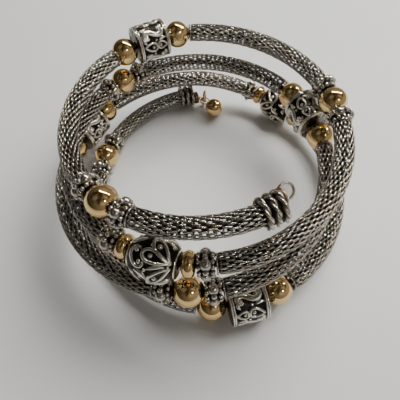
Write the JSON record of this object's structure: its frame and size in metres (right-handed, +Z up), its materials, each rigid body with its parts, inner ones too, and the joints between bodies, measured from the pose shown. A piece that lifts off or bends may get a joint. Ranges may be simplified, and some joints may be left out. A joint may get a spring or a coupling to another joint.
{
  "type": "spiral coil bracelet",
  "caption": "Springy wire coil that wraps the wrist, dressed with knitted mesh tube, gold coloured beads, openwork scroll beads and granulated daisy spacers.",
  "frame": {"origin": "middle of the bounding box's base, on the surface that the bracelet lies on", "axes": "+Z up along the coil's axis, +Y towards the back, where the tail with its charm lies"},
  "size_m": [0.0694, 0.0706, 0.0308],
  "materials": {
    "core_wire": "satin",
    "knitted_mesh": "oxidised",
    "polished_gold": "polished",
    "scrollwork": "oxidised",
    "granulation": "oxidised",
    "wound_caps": "oxidised"
  },
  "bodies": {
    "root": {"core_wire": "core_wire", "mesh_sleeve_01": "knitted_mesh", "mesh_sleeve_02": "knitted_mesh", "mesh_sleeve_03": "knitted_mesh", "mesh_sleeve_04": "knitted_mesh", "mesh_sleeve_05": "knitted_mesh", "mesh_sleeve_06": "knitted_mesh", "mesh_sleeve_07": "knitted_mesh", "mesh_sleeve_08": "knitted_mesh", "mesh_sleeve_09": "knitted_mesh", "mesh_sleeve_10": "knitted_mesh", "mesh_sleeve_11": "knitted_mesh", "mesh_sleeve_12": "knitted_mesh", "gold_bead_01": "polished_gold", "gold_bead_02": "polished_gold", "gold_bead_03": "polished_gold", "gold_bead_04": "polished_gold", "gold_bead_05": "polished_gold", "gold_bead_06": "polished_gold", "gold_bead_07": "polished_gold", "gold_bead_08": "polished_gold", "gold_bead_09": "polished_gold", "gold_bead_10": "polished_gold", "gold_bead_11": "polished_gold", "gold_bead_12": "polished_gold", "gold_bead_13": "polished_gold", "gold_rondelle_01": "polished_gold", "gold_rondelle_02": "polished_gold", "gold_rondelle_03": "polished_gold", "gold_rondelle_04": "polished_gold", "scroll_drum_01": "scrollwork", "scroll_drum_02": "scrollwork", "scroll_drum_03": "scrollwork", "scroll_drum_04": "scrollwork", "scroll_round_01": "scrollwork", "scroll_round_02": "scrollwork", "daisy_spacer_01": "granulation", "daisy_spacer_02": "granulation", "daisy_spacer_03": "granulation", "daisy_spacer_04": "granulation", "daisy_spacer_05": "granulation", "daisy_spacer_06": "granulation", "daisy_spacer_07": "granulation", "daisy_spacer_08": "granulation", "daisy_spacer_09": "granulation", "daisy_spacer_10": "granulation", "daisy_spacer_11": "granulation", "daisy_spacer_12": "granulation", "daisy_spacer_13": "granulation", "daisy_spacer_14": "granulation", "end_cap_top": "wound_caps", "end_cap_tail": "wound_caps", "jump_ring": "polished_gold", "charm_bead": "polished_gold"}
  },
  "joints": []
}
